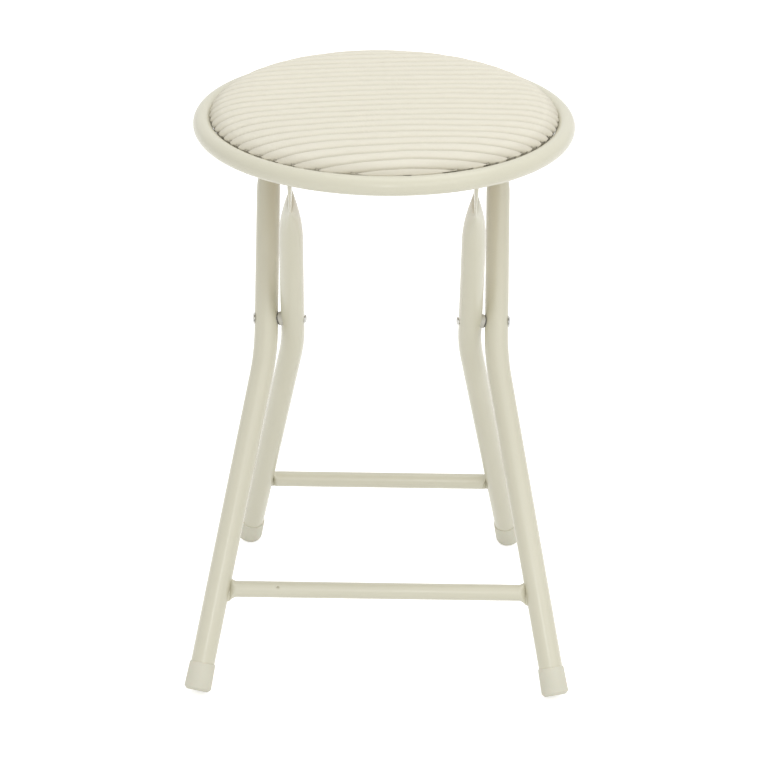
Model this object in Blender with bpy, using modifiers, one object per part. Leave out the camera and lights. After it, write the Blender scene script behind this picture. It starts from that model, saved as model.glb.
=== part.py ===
"""A round folding stool: two crossed steel tube frames and a ring seat with a ribbed cushion.

The outer frame has its feet in front and its tops hinged to the rear of the seat. The inner
frame crosses it on two rivets, has its feet behind, and carries the front of the seat on two
pins that sit in open notches. To fold it, the front of the seat is lifted off the pins, the
seat swings up in line with the outer legs and the two frames close together.

Metres, +Z up, -Y is the front, and the origin is on the floor under the middle of the stool.
"""

import math

import bmesh
import bpy
from mathutils import Matrix, Vector

# Overall sizes
SEAT_DIAMETER = 0.300
SEAT_RING_HEIGHT = 0.436  # middle of the ring's tube above the floor
PIVOT_BELOW_RING = 0.168  # where the two frames cross, from the middle of the ring's tube
FOOT_REACH = 0.144  # from the pivot to where a leg's middle line meets the floor, front or back

# Tubes
RING_TUBE = 0.015
RING_WALL = 0.0012
LEG_TUBE = 0.019
LEG_WALL = 0.0012
BAR_TUBE = 0.013
BAR_WALL = 0.001

# Where the legs stand, from the middle plane
INNER_LEG_X = 0.0715  # above the bend
LEG_GAP = 0.0022  # between the inner and the outer tube at the pivot
INNER_FOOT_X = 0.114
OUTER_FOOT_X = 0.144
BEND_DROP = 0.025  # the bend's corner below the pivot, in height
BEND_RADIUS = 0.200

# Flattened leg tops
TAB_THICKNESS = 0.003
TAB_BELOW_HOLE = 0.0344  # flat length under the hole
PRESS_LENGTH = 0.030  # over which the round tube turns flat
TAB_TO_RAIL_TOP = 0.000434  # the least height left above a front tab
HINGE_BELOW_PIN = 0.0105

# Crossbars
BAR_HEIGHT = 0.076
BAR_END_HEIGHT = 0.0195  # the pressed end, measured along the leg
BAR_PRESS_LENGTH = 0.007
BAR_VENT = 0.0024
BAR_VENT_X = -0.085

# Foot caps
CAP_DIAMETER = 0.0226
CAP_TAPER = 0.0004  # how much thinner the radius is under the lip
CAP_LENGTH = 0.0225
CAP_FLOOR = 0.003
CAP_EDGE = 0.0012
CAP_LIP = 0.0004
CAP_LIP_LENGTH = 0.0018
CAP_WEAR = 0.0008  # how much of the lowest edge is flat on the floor

# Rivets, pins and screws
PIVOT_SHANK = 0.005
PIVOT_HEAD = (0.0092, 0.0011)  # diameter and height
PIVOT_PEEN = (0.0068, 0.0016)
SPACER_DIAMETER = 0.0112
HINGE_SHANK = 0.006
HINGE_HEAD = (0.0112, 0.0024)
HINGE_WASHER = (0.0135, 0.0006)  # diameter and thickness
PIN_COLLAR = (0.0086, 0.0015)
SCREW_SHANK = 0.004
SCREW_HEAD = (0.0085, 0.0022)
SCREW_BITE = 0.0050  # how far a screw goes into the board
SCREW_Y = 0.048

# Rails under the board
RAIL_WIDTH = 0.015
RAIL_SHEET = 0.0015
RAIL_DEPTH = 0.010
RAIL_TO_TAB = 0.0020  # from the inner tab's outer face to the rail
EAR_BELOW_PIN = 0.0055
EAR_PRONG = 0.0042
EAR_CORNER = 0.004
HINGE_EAR_RADIUS = 0.010
RAIL_END_RISE = 0.005  # the flanges' lower corners are cut off by this much in height
RAIL_END_CUT = 0.016  # and by this much in length

# Board and cushion
BOARD_TO_RING = 0.0015  # from its edge to the inside of the ring
BOARD_THICKNESS = 0.006
COVER_OVER_RING = 0.002  # how far the cushion's widest line reaches over the ring
COVER_WALL = 0.001
COVER_CROWN = 0.0145  # from the widest line up to the middle
COVER_SHOULDER = 6  # a higher power keeps the top flat for longer and its shoulder tighter
COVER_EDGE_RISE = 0.0015  # the widest line above the top of the ring
RIB_COUNT = 24
RIB_DEPTH = 0.002
RIB_TURN = math.radians(8.2)  # the ribs run a little askew of the crossbars
FOAM_GAP = 0.0005
FOAM_INSET = 0.003  # of the foam's edge from the board's

# Clearances
SEAT_GAP = 0.0003  # between pieces that touch
HOLE_GAP = 0.0003  # all round a rivet, a pin or a screw

# Fineness
TUBE_SIDES = 16
TURN_STEPS = 24

PIVOT_HEIGHT = SEAT_RING_HEIGHT - PIVOT_BELOW_RING
LEAN = math.atan2(FOOT_REACH, PIVOT_HEIGHT)
OUTER_LEG_X = INNER_LEG_X + LEG_TUBE + LEG_GAP
RING_RADIUS = (SEAT_DIAMETER - RING_TUBE) / 2
BOARD_RADIUS = RING_RADIUS - RING_TUBE / 2 - BOARD_TO_RING
COVER_RADIUS = RING_RADIUS - RING_TUBE / 2 + COVER_OVER_RING
RAIL_TOP = SEAT_RING_HEIGHT + 0.001
TAB_HALF_DEPTH = TAB_THICKNESS / 2 + math.pi / 4 * (LEG_TUBE - TAB_THICKNESS)
FRONT_PIN_HEIGHT = RAIL_TOP - TAB_HALF_DEPTH - TAB_TO_RAIL_TOP
REAR_HINGE_HEIGHT = FRONT_PIN_HEIGHT - HINGE_BELOW_PIN
RAIL_INNER_X = INNER_LEG_X + TAB_THICKNESS / 2 + RAIL_TO_TAB
RAIL_MIDDLE_X = RAIL_INNER_X + RAIL_WIDTH / 2
RAIL_OUTER_X = RAIL_INNER_X + RAIL_WIDTH
RAIL_HALF_LENGTH = math.sqrt(RING_RADIUS**2 - RAIL_MIDDLE_X**2)  # the rail is then shaped to the ring
BOARD_BOTTOM = RAIL_TOP + SEAT_GAP
BOARD_TOP = BOARD_BOTTOM + BOARD_THICKNESS
COVER_EDGE_Z = SEAT_RING_HEIGHT + RING_TUBE / 2 + COVER_EDGE_RISE
SIDES = (("left", -1), ("right", 1))

POWDER_COAT = ("cream powder coat", (0.70, 0.67, 0.58, 1.0), 0.38, 0.0)
ZINC = ("zinc plated steel", (0.62, 0.62, 0.60, 1.0), 0.32, 1.0)
CAP_PLASTIC = ("ivory foot plastic", (0.74, 0.72, 0.63, 1.0), 0.5, 0.0)
BUSH_PLASTIC = ("grey bush plastic", (0.55, 0.56, 0.55, 1.0), 0.45, 0.0)
PLYWOOD = ("birch plywood", (0.62, 0.47, 0.30, 1.0), 0.7, 0.0)
CORDUROY = ("cream corduroy", (0.80, 0.76, 0.62, 1.0), 0.95, 0.0)
FOAM = ("white foam", (0.85, 0.83, 0.76, 1.0), 0.95, 0.0)


def clear_scene():
    for obj in list(bpy.data.objects):
        bpy.data.objects.remove(obj)


def new_collection(name, parent):
    collection = bpy.data.collections.new(name)
    parent.children.link(collection)
    return collection


def material(finish):
    name, colour, roughness, metallic = finish
    found = bpy.data.materials.get(name)
    if found:
        return found
    made = bpy.data.materials.new(name)
    made.use_nodes = True
    shader = made.node_tree.nodes["Principled BSDF"]
    shader.inputs["Base Color"].default_value = colour
    shader.inputs["Roughness"].default_value = roughness
    shader.inputs["Metallic"].default_value = metallic
    return made


def joint_empty(name, y, z):
    """An empty on a joint's axis, which the moving pieces hang from."""
    empty = bpy.data.objects.new(name, None)
    empty.location = (0.0, y, z)
    STOOL.objects.link(empty)
    bpy.context.view_layer.update()
    return empty


def add_piece(name, mesh, finish, parent=None, matrix=None):
    piece = bpy.data.objects.new(name, mesh)
    mesh.materials.append(material(finish))
    STOOL.objects.link(piece)
    if parent:
        piece.parent = parent
        piece.matrix_parent_inverse = parent.matrix_world.inverted()
    if matrix:
        piece.matrix_basis = matrix
    return piece


def add_cutter(name, mesh, matrix=None):
    cutter = bpy.data.objects.new(name, mesh)
    CUTTERS.objects.link(cutter)
    cutter.matrix_world = matrix or Matrix()
    cutter.hide_render = True
    cutter.display_type = "WIRE"
    return cutter


def cut(piece, cutter):
    modifier = piece.modifiers.new("cut by " + cutter.name, "BOOLEAN")
    modifier.operation = "DIFFERENCE"
    modifier.solver = "EXACT"
    modifier.object = cutter


def mesh_from(bm, name, sharp_angle=40):
    mesh = bpy.data.meshes.new(name)
    bm.to_mesh(mesh)
    bm.free()
    mesh.shade_smooth()
    mesh.set_sharp_from_angle(angle=math.radians(sharp_angle))
    return mesh


def cylinder_mesh(name, diameter, length, steps=TURN_STEPS):
    bm = bmesh.new()
    bmesh.ops.create_cone(
        bm, cap_ends=True, segments=steps, radius1=diameter / 2, radius2=diameter / 2, depth=length
    )
    return mesh_from(bm, name)


def along_x(x, y, z):
    """Puts a shape that is turned about Z at this place with its top towards +X."""
    return Matrix.Translation((x, y, z)) @ Matrix.Rotation(math.pi / 2, 4, "Y")


def facing_side(side):
    """Turns a shape made for the right-hand side to face the other way on the left."""
    return Matrix.Rotation(math.pi, 4, "Z") if side < 0 else Matrix()


def turned_mesh(name, profile, steps=TURN_STEPS):
    """A solid turned about Z from (radius, height) points, which run down the outer side."""
    bm = bmesh.new()
    points = [bm.verts.new((radius, 0.0, height)) for radius, height in profile]
    for first, second in zip(points, points[1:]):
        bm.edges.new((first, second))
    outline = bpy.data.meshes.new(name + " outline")
    bm.to_mesh(outline)
    bm.free()
    helper = bpy.data.objects.new(name + " outline", outline)
    CUTTERS.objects.link(helper)
    screw = helper.modifiers.new("turn", "SCREW")
    screw.steps = screw.render_steps = steps
    screw.use_merge_vertices = True
    screw.merge_threshold = 0.00002
    screw.use_smooth_shade = True
    bpy.context.view_layer.update()
    made = bpy.data.meshes.new_from_object(helper.evaluated_get(bpy.context.evaluated_depsgraph_get()))
    bpy.data.objects.remove(helper)
    made.name = name
    made.set_sharp_from_angle(angle=math.radians(35))
    return made


def outline_mesh(name, points, thickness):
    """A flat plate with this outline in its XY plane, half its thickness to each side."""
    curve = bpy.data.curves.new(name, "CURVE")
    curve.dimensions = "2D"
    curve.fill_mode = "BOTH"
    curve.extrude = thickness / 2
    spline = curve.splines.new("POLY")
    spline.points.add(len(points) - 1)
    for point, (x, y) in zip(spline.points, points):
        point.co = (x, y, 0.0, 1.0)
    spline.use_cyclic_u = True
    helper = bpy.data.objects.new(name, curve)
    CUTTERS.objects.link(helper)
    bpy.context.view_layer.update()
    made = bpy.data.meshes.new_from_object(helper.evaluated_get(bpy.context.evaluated_depsgraph_get()))
    bpy.data.objects.remove(helper)
    bm = bmesh.new()
    bm.from_mesh(made)
    bmesh.ops.remove_doubles(bm, verts=bm.verts, dist=0.00001)
    bmesh.ops.recalc_face_normals(bm, faces=bm.faces)
    bm.to_mesh(made)
    bm.free()
    return made


def arc(centre, radius, start, end, steps):
    """Points round a circle in a plane, from one angle in degrees to another."""
    for step in range(steps + 1):
        angle = math.radians(start + (end - start) * step / steps)
        yield centre[0] + radius * math.cos(angle), centre[1] + radius * math.sin(angle)


def box_cutter(name, low, high):
    bm = bmesh.new()
    bmesh.ops.create_cube(bm, size=1.0)
    low, high = Vector(low), Vector(high)
    size = high - low
    matrix = Matrix.Translation((low + high) / 2) @ Matrix.Diagonal((*size, 1.0))
    bmesh.ops.transform(bm, matrix=matrix, verts=bm.verts)
    return add_cutter(name, mesh_from(bm, name))


def pressed_half_depth(half_width, tube):
    """Half the long side of a tube pressed to this half width, with the girth that it had."""
    return half_width + math.pi / 2 * (tube / 2 - half_width)


def stadium(half_width, half_depth, sides):
    """Points round a slot shape: round when the two halves are the same, flat when one is small."""
    flat = half_depth - half_width
    for step in range(sides):
        angle = 2 * math.pi * (step + 0.5) / sides
        across, along = math.cos(angle), math.sin(angle)
        yield half_width * across, half_width * along + math.copysign(flat, along)


def loft(bm, stations, sides):
    """Rings of points through the stations, joined by faces. It returns the first and last ring."""
    rings = []
    for place, across, along, half_width, half_depth in stations:
        outline = stadium(half_width, half_depth, sides)
        rings.append([bm.verts.new(place + across * u + along * v) for u, v in outline])
    for low, high in zip(rings, rings[1:]):
        for i in range(sides):
            j = (i + 1) % sides
            bm.faces.new((low[i], low[j], high[j], high[i]))
    return rings[0], rings[-1]


def bridge(bm, outer, inner):
    for i in range(len(outer)):
        j = (i + 1) % len(outer)
        bm.faces.new((outer[i], outer[j], inner[j], inner[i]))


class Leg:
    """One leg: its middle line lies in a plane that leans, and bends outwards below the pivot."""

    def __init__(self, frame, side, top_height):
        outer = frame == "outer"
        self.side = side
        self.top_x = OUTER_LEG_X if outer else INNER_LEG_X
        self.foot_x = OUTER_FOOT_X if outer else INNER_FOOT_X
        self.forward = -1 if outer else 1  # which way the foot points along Y
        self.top = top_height / math.cos(LEAN)
        self.corner = (PIVOT_HEIGHT - BEND_DROP) / math.cos(LEAN)
        self.splay = math.atan2(self.foot_x - self.top_x, self.corner)
        self.tangent = BEND_RADIUS * math.tan(self.splay / 2)
        self.depth = Vector((0.0, math.cos(LEAN), self.forward * math.sin(LEAN)))

    def point(self, x, up):
        """The point at this distance from the middle plane and this length up the leaning plane."""
        y = self.forward * (FOOT_REACH - up * math.sin(LEAN))
        return Vector((self.side * x, y, up * math.cos(LEAN)))

    def at(self, up):
        """The middle line's point, and the direction across it in the leaning plane."""
        high, low = self.corner + self.tangent, self.corner - self.tangent * math.cos(self.splay)
        if up >= high:
            x, turn = self.top_x, 0.0
        elif up <= low:
            x, turn = self.foot_x - up * math.tan(self.splay), self.splay
        else:
            turn = math.asin((high - up) / BEND_RADIUS)
            x = self.top_x + BEND_RADIUS * (1 - math.cos(turn))
        across = self.point(math.cos(turn), math.sin(turn)) - self.point(0.0, 0.0)
        return self.point(x, up), across

    def direction(self):
        """The way the straight lower stretch points, towards the foot."""
        return (self.point(self.foot_x, 0.0) - self.at(self.corner / 2)[0]).normalized()

    def end_up(self, rise):
        """How far up the leaning plane a square cut end is whose middle is this high."""
        return rise / math.cos(LEAN)

    def cap_rise(self):
        """The height of the cap's end face at its middle, for its worn edge to be on the floor."""
        tilt = math.acos(-self.direction().z)
        edge_middle = (CAP_DIAMETER / 2 - CAP_EDGE) * math.sin(tilt) - CAP_EDGE * math.cos(tilt)
        return edge_middle + CAP_EDGE - CAP_WEAR

    def cap_matrix(self):
        """Turns +Z up the leg, with the origin in the middle of the cap's end face."""
        place, _ = self.at(self.end_up(self.cap_rise()))
        turn = Vector((0.0, 0.0, 1.0)).rotation_difference(-self.direction())
        return Matrix.Translation(place) @ turn.to_matrix().to_4x4()

    def stations(self, inset):
        """Places and sizes down the tube, from its foot to the tab's end, or to where the bore shuts."""
        radius = LEG_TUBE / 2 - inset
        foot = self.end_up(self.cap_rise()) + (CAP_FLOOR + SEAT_GAP) * math.cos(self.splay)
        bend_top, bend_bottom = self.corner + self.tangent, self.corner - self.tangent * math.cos(self.splay)
        flat_start = self.top - TAB_BELOW_HOLE
        round_end = flat_start - PRESS_LENGTH
        lengths = [foot, self.corner / 2, bend_bottom]
        lengths += [bend_bottom + (bend_top - bend_bottom) * step / 5 for step in range(1, 6)]
        lengths.append(round_end)
        made = [(up, radius, radius) for up in lengths]
        least = TAB_THICKNESS / 2
        for share in (0.2, 0.42, 0.62, 0.78, 0.9, 0.97, 1.0):
            swell = math.sqrt(1 - share**2)
            half = least + (LEG_TUBE / 2 - least) * swell
            if half - inset < 0.0012 and inset:
                break
            depth = pressed_half_depth(half, LEG_TUBE)
            made.append((round_end + PRESS_LENGTH * share, half - inset, depth - inset))
        if not inset:
            tab_depth = pressed_half_depth(least, LEG_TUBE)
            for angle in (0, 30, 52, 68, 78):
                turn = math.radians(angle)
                up = self.top + tab_depth * math.sin(turn)
                made.append((up, least, max(tab_depth * math.cos(turn), least + 0.0005)))
        for up, half_width, half_depth in made:
            place, across = self.at(up)
            yield place, across, self.depth, half_width, half_depth

    def mesh(self, name):
        """The hollow tube: an outer skin, a bore that is open inside the foot cap, and a flat top."""
        bm = bmesh.new()
        foot, tip = loft(bm, self.stations(0.0), TUBE_SIDES)
        bore_foot, bore_top = loft(bm, self.stations(LEG_WALL), TUBE_SIDES)
        bm.faces.new(tip)
        bm.faces.new(bore_top)
        bridge(bm, foot, bore_foot)
        bmesh.ops.recalc_face_normals(bm, faces=bm.faces)
        return mesh_from(bm, name)

    def straight_cutter(self, name, low, clearance):
        """A rod along the leg's straight lower or upper stretch, to shape what is fixed to it."""
        near = self.at(self.corner + self.tangent)[0] if not low else self.at(0.0)[0]
        far = self.at(self.top)[0] if not low else self.at(self.corner - self.tangent)[0]
        turn = Vector((0.0, 0.0, 1.0)).rotation_difference((far - near).normalized())
        matrix = Matrix.Translation((near + far) / 2) @ turn.to_matrix().to_4x4()
        mesh = cylinder_mesh(name, LEG_TUBE + 2 * clearance, (far - near).length + 0.03, 32)
        return add_cutter(name, mesh, matrix)


def hole_cutter(name, x, y, z, diameter, length):
    return add_cutter(name, cylinder_mesh(name, diameter, length, 16), along_x(x, y, z))


def make_legs(frame, top_height, parent):
    legs = {}
    for side_name, side in SIDES:
        leg = legs[side_name] = Leg(frame, side, top_height)
        name = f"{frame}_leg_{side_name}"
        piece = add_piece(name, leg.mesh(name), POWDER_COAT, parent)
        x = side * leg.top_x
        width = LEG_TUBE + 0.002
        cut(piece, hole_cutter(name + "_pivot_hole", x, 0.0, PIVOT_HEIGHT, PIVOT_SHANK + 2 * HOLE_GAP, width))
        top = leg.at(leg.top)[0]
        cut(piece, hole_cutter(name + "_top_hole", x, top.y, top.z, HINGE_SHANK + 2 * HOLE_GAP, width))
    return legs


def make_crossbar(name, legs, parent):
    """A tube between two legs whose ends are pressed flat and shaped to the legs' sides."""
    leg = legs["right"]
    up = BAR_HEIGHT / math.cos(LEAN)
    middle, _ = leg.at(up)
    reach = middle.x
    tall = Vector((0.0, leg.point(0, 1).y - leg.point(0, 0).y, math.cos(LEAN)))
    thin = leg.depth
    half_end = (math.pi * BAR_TUBE / 2 - BAR_END_HEIGHT) / (math.pi - 2)
    press_start = reach - LEG_TUBE / 2 - BAR_PRESS_LENGTH
    sizes = [(0.0, BAR_TUBE / 2), (press_start, BAR_TUBE / 2)]
    for share in (0.3, 0.6, 0.85, 1.0):
        half = BAR_TUBE / 2 + (half_end - BAR_TUBE / 2) * math.sin(share * math.pi / 2)
        sizes.append((press_start + BAR_PRESS_LENGTH * share, half))
    sizes.append((reach - LEG_TUBE / 4, half_end))

    def stations(inset):
        both = [(-x, half) for x, half in reversed(sizes[1:])] + sizes
        for x, half in both:
            depth = pressed_half_depth(half, BAR_TUBE)
            place = Vector((x, middle.y, middle.z))
            yield place, thin, tall, max(half - inset, 0.0002), depth - inset

    bm = bmesh.new()
    left, right = loft(bm, stations(0.0), TUBE_SIDES)
    bore_left, bore_right = loft(bm, stations(BAR_WALL), TUBE_SIDES)
    bridge(bm, left, bore_left)
    bridge(bm, right, bore_right)
    bmesh.ops.recalc_face_normals(bm, faces=bm.faces)
    bar = add_piece(name, mesh_from(bm, name), POWDER_COAT, parent)
    for side_name, _ in SIDES:
        cut(bar, legs[side_name].straight_cutter(f"{name}_{side_name}_end", True, SEAT_GAP))
    return bar, middle


def make_bar_vent(bar, middle):
    """The small hole that lets the coating drain, in the front wall of the front bar."""
    matrix = Matrix.Translation((BAR_VENT_X, middle.y - BAR_TUBE / 2, middle.z))
    matrix = matrix @ Matrix.Rotation(math.pi / 2, 4, "X")
    cut(bar, add_cutter("bar_vent", cylinder_mesh("bar_vent", BAR_VENT, BAR_TUBE * 0.6, 10), matrix))


def cap_profile():
    """Down the outside of a foot cap from its lip, across the bottom, and up its bore."""
    radius = CAP_DIAMETER / 2
    neck = radius - CAP_TAPER
    bore = LEG_TUBE / 2 + SEAT_GAP
    lip_low = CAP_LENGTH - CAP_LIP_LENGTH
    profile = [(0.0, CAP_FLOOR), (bore, CAP_FLOOR), (bore, CAP_LENGTH), (neck + CAP_LIP * 0.6, CAP_LENGTH)]
    profile += [(neck + CAP_LIP, CAP_LENGTH - CAP_LIP_LENGTH / 3), (neck + CAP_LIP, lip_low)]
    profile += [(neck, lip_low - CAP_LIP), (radius, CAP_LENGTH / 3), (radius, CAP_EDGE)]
    profile += list(arc((radius - CAP_EDGE, CAP_EDGE), CAP_EDGE, -30, -90, 2))
    return profile + [(0.0, 0.0)]


def make_foot_caps(place, legs, floor_cutter, parent):
    for side_name, _ in SIDES:
        name = f"foot_cap_{place}_{side_name}"
        matrix = legs[side_name].cap_matrix()
        cap = add_piece(name, turned_mesh(name, cap_profile()), CAP_PLASTIC, parent, matrix)
        cut(cap, floor_cutter)


def make_floor_cutter():
    """Everything below the floor, so that each cap's lowest edge is worn flat."""
    bm = bmesh.new()
    bmesh.ops.create_cube(bm, size=1.0)
    return add_cutter("floor", mesh_from(bm, "floor"), Matrix.Translation((0.0, 0.0, -0.5)))


def dome(diameter, height, base, outward):
    """Points over a low dome on a flat base, from its rim to its crown."""
    for radius, rise in arc((0.0, 0.0), 1.0, 0, 90, 4):
        yield max(radius, 0.0) * diameter / 2, base + outward * rise * height


def headed_pin(name, shank, top_head, bottom_head, length, collars=()):
    """A rivet about Z: a domed head over z = length, a domed head under z = 0, and the shank."""
    points = list(dome(top_head[0], top_head[1], length, 1))[::-1]
    points[0] = (0.0, points[0][1])
    points.append((shank / 2, length))
    for low, high, diameter in collars:
        points += [(shank / 2, high), (diameter / 2, high), (diameter / 2, low), (shank / 2, low)]
    points.append((shank / 2, 0.0))
    bottom = list(dome(bottom_head[0], bottom_head[1], 0.0, -1))
    bottom[-1] = (0.0, bottom[-1][1])
    return turned_mesh(name, points + bottom, 20)


def make_pivots(outer_legs):
    """The two rivets that the frames turn on, and the bushes between the tubes."""
    inside = INNER_LEG_X - LEG_TUBE / 2 - SEAT_GAP
    outside = OUTER_LEG_X + LEG_TUBE / 2 + SEAT_GAP
    bush_face = INNER_LEG_X + LEG_TUBE / 2 + SEAT_GAP
    for side_name, side in SIDES:
        name = f"pivot_rivet_{side_name}"
        mesh = headed_pin(name, PIVOT_SHANK, PIVOT_HEAD, PIVOT_PEEN, outside - inside)
        matrix = facing_side(side) @ along_x(inside, 0.0, PIVOT_HEIGHT)
        add_piece(name, mesh, ZINC, None, matrix)
        name = f"pivot_bush_{side_name}"
        length = OUTER_LEG_X - bush_face
        bush = add_piece(name, cylinder_mesh(name, SPACER_DIAMETER, length), BUSH_PLASTIC)
        bush.matrix_basis = along_x(side * (bush_face + length / 2), 0.0, PIVOT_HEIGHT)
        cut(bush, outer_legs[side_name].straight_cutter(name + "_saddle", False, SEAT_GAP))
        bore = PIVOT_SHANK + 2 * HOLE_GAP
        cut(bush, hole_cutter(name + "_bore", side * (bush_face + length / 2), 0.0, PIVOT_HEIGHT, bore, 0.03))


def make_front_pins(inner_legs, parent):
    """Pins through the inner legs' tabs, which carry the rails' front notches."""
    tab_inside = INNER_LEG_X - TAB_THICKNESS / 2 - SEAT_GAP
    tab_outside = INNER_LEG_X + TAB_THICKNESS / 2 + SEAT_GAP
    end = RAIL_INNER_X + RAIL_SHEET + SEAT_GAP
    shoulder = (tab_outside - tab_inside, RAIL_INNER_X - SEAT_GAP - tab_inside, HINGE_HEAD[0])
    pin = inner_legs["right"].at(inner_legs["right"].top)[0]
    for side_name, side in SIDES:
        name = f"front_pin_{side_name}"
        length = end - tab_inside
        mesh = headed_pin(name, HINGE_SHANK, PIN_COLLAR, HINGE_HEAD, length, [shoulder])
        add_piece(name, mesh, ZINC, parent, facing_side(side) @ along_x(tab_inside, side * pin.y, pin.z))


def make_rear_hinges(outer_legs, parent):
    """Rivets through the rails' rear ears and the outer legs' tabs, with a washer between."""
    ear_inside = RAIL_OUTER_X - RAIL_SHEET - SEAT_GAP
    tab_outside = OUTER_LEG_X + TAB_THICKNESS / 2 + SEAT_GAP
    hinge = outer_legs["right"].at(outer_legs["right"].top)[0]
    for side_name, side in SIDES:
        name = f"rear_hinge_rivet_{side_name}"
        mesh = headed_pin(name, HINGE_SHANK, HINGE_HEAD, HINGE_HEAD, tab_outside - ear_inside)
        add_piece(name, mesh, ZINC, parent, facing_side(side) @ along_x(ear_inside, side * hinge.y, hinge.z))
        name = f"hinge_washer_{side_name}"
        diameter, thickness = HINGE_WASHER
        x = side * (RAIL_OUTER_X + SEAT_GAP + thickness / 2)
        place = along_x(x, hinge.y, hinge.z)
        washer = add_piece(name, cylinder_mesh(name, diameter, thickness, 20), ZINC, parent, place)
        bore = HINGE_SHANK + 2 * HOLE_GAP
        cut(washer, hole_cutter(name + "_bore", x, hinge.y, hinge.z, bore, 0.004))
    return hinge


def below_flange(ear):
    """All that is cut away under a flange, in (y, z): its lower edge with its ear, and a deep floor."""
    bottom, deep = RAIL_TOP - RAIL_DEPTH, RAIL_TOP - 4 * RAIL_DEPTH
    short, far = RAIL_HALF_LENGTH - RAIL_END_CUT, RAIL_HALF_LENGTH + RAIL_END_CUT
    end = bottom + 2 * RAIL_END_RISE
    return [(-far, end), (-short, bottom), *ear, (short, bottom), (far, end), (far, deep), (-far, deep)]


def notch_ear(pin_y, pin_z):
    """The front ear: two prongs with a notch between them that is open below for the pin."""
    bottom = RAIL_TOP - RAIL_DEPTH
    low = pin_z - EAR_BELOW_PIN
    slot = HINGE_SHANK / 2 + HOLE_GAP
    near, far = pin_y - slot - EAR_PRONG, pin_y + slot + EAR_PRONG
    ear = [(near, bottom)]
    ear += arc((near + EAR_CORNER, low + EAR_CORNER), EAR_CORNER, 180, 265, 3)
    ear.append((pin_y - slot, low))
    ear += arc((pin_y, pin_z), slot, 180, 0, 8)
    ear.append((pin_y + slot, low))
    ear += arc((far - EAR_CORNER, low + EAR_CORNER), EAR_CORNER, 275, 360, 3)
    ear.append((far, bottom))
    return ear


def hinge_ear(pin_y, pin_z):
    """The rear ear: a tongue with a round end about the hinge."""
    bottom = RAIL_TOP - RAIL_DEPTH
    ear = [(pin_y - HINGE_EAR_RADIUS, bottom)]
    ear += arc((pin_y, pin_z), HINGE_EAR_RADIUS, 180, 360, 10)
    ear.append((pin_y + HINGE_EAR_RADIUS, bottom))
    return ear


def make_rails(pin, hinge, parent):
    """Two pressed channels across the ring that carry the board, the notches and the hinges."""
    upright = Matrix(((0, 0, 1, 0), (1, 0, 0, 0), (0, 1, 0, 0), (0, 0, 0, 1)))
    ring_cutter = add_cutter("ring_outside", torus_mesh("ring_outside", RING_TUBE / 2 + SEAT_GAP, 96, 24))
    ring_cutter.matrix_world = Matrix.Translation((0.0, 0.0, SEAT_RING_HEIGHT))
    half, deep = RAIL_HALF_LENGTH, RAIL_TOP - 3 * RAIL_DEPTH
    block = [(-half, deep), (half, deep), (half, RAIL_TOP), (-half, RAIL_TOP)]
    wide, pocket_top = RAIL_WIDTH / 2 - RAIL_SHEET, RAIL_TOP - RAIL_SHEET
    for side_name, side in SIDES:
        name = f"seat_rail_{side_name}"
        middle = side * RAIL_MIDDLE_X
        mesh = outline_mesh(name, block, RAIL_WIDTH)
        mesh.transform(Matrix.Translation((middle, 0, 0)) @ upright)
        rail = add_piece(name, mesh, POWDER_COAT, parent)
        low, high = (middle - wide, -2 * half, deep - RAIL_DEPTH), (middle + wide, 2 * half, pocket_top)
        cut(rail, box_cutter(name + "_inside", low, high))
        inner = ("inner", RAIL_INNER_X, notch_ear(pin.y, pin.z))
        outer = ("outer", RAIL_OUTER_X, hinge_ear(hinge.y, hinge.z))
        for flange, x, ear in (inner, outer):
            below = outline_mesh(f"{name}_{flange}", below_flange(ear), 3 * RAIL_SHEET)
            place = Matrix.Translation((side * x, 0, 0)) @ upright
            cut(rail, add_cutter(f"{name}_{flange}", below, place))
        cut(rail, ring_cutter)
        bore = HINGE_SHANK + 2 * HOLE_GAP
        x = side * (RAIL_OUTER_X - RAIL_SHEET / 2)
        cut(rail, hole_cutter(name + "_hinge_hole", x, hinge.y, hinge.z, bore, 0.006))
        for place, y in (("front", -SCREW_Y), ("rear", SCREW_Y)):
            cut(rail, screw_cutter(f"{name}_{place}_hole", middle, y))


def screw_cutter(name, x, y):
    """The hole for one board screw, through a rail's web and up into the board."""
    top = BOARD_BOTTOM + SCREW_BITE + SEAT_GAP
    length = top - (RAIL_TOP - 2 * RAIL_SHEET)
    mesh = cylinder_mesh(name, SCREW_SHANK + 2 * HOLE_GAP, length, 12)
    return add_cutter(name, mesh, Matrix.Translation((x, y, top - length / 2)))


def make_screws(parent):
    head_face = RAIL_TOP - RAIL_SHEET - SEAT_GAP
    length = BOARD_BOTTOM + SCREW_BITE - head_face
    for side_name, side in SIDES:
        for place, y in (("front", -SCREW_Y), ("rear", SCREW_Y)):
            name = f"board_screw_{place}_{side_name}"
            shank, tip = SCREW_SHANK / 2, SCREW_SHANK / 4
            profile = [(0.0, length), (tip, length), (shank, length - SCREW_SHANK / 2), (shank, 0.0)]
            head = list(dome(SCREW_HEAD[0], SCREW_HEAD[1], 0.0, -1))
            head[-1] = (0.0, head[-1][1])
            matrix = Matrix.Translation((side * RAIL_MIDDLE_X, y, head_face))
            add_piece(name, turned_mesh(name, profile + head, 12), ZINC, parent, matrix)


def torus_mesh(name, tube_radius, around, sides):
    bpy.ops.mesh.primitive_torus_add(
        major_radius=RING_RADIUS, minor_radius=tube_radius, major_segments=around, minor_segments=sides
    )
    ring = bpy.context.object
    mesh = ring.data
    bpy.data.objects.remove(ring)
    mesh.name = name
    mesh.shade_smooth()
    return mesh


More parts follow.
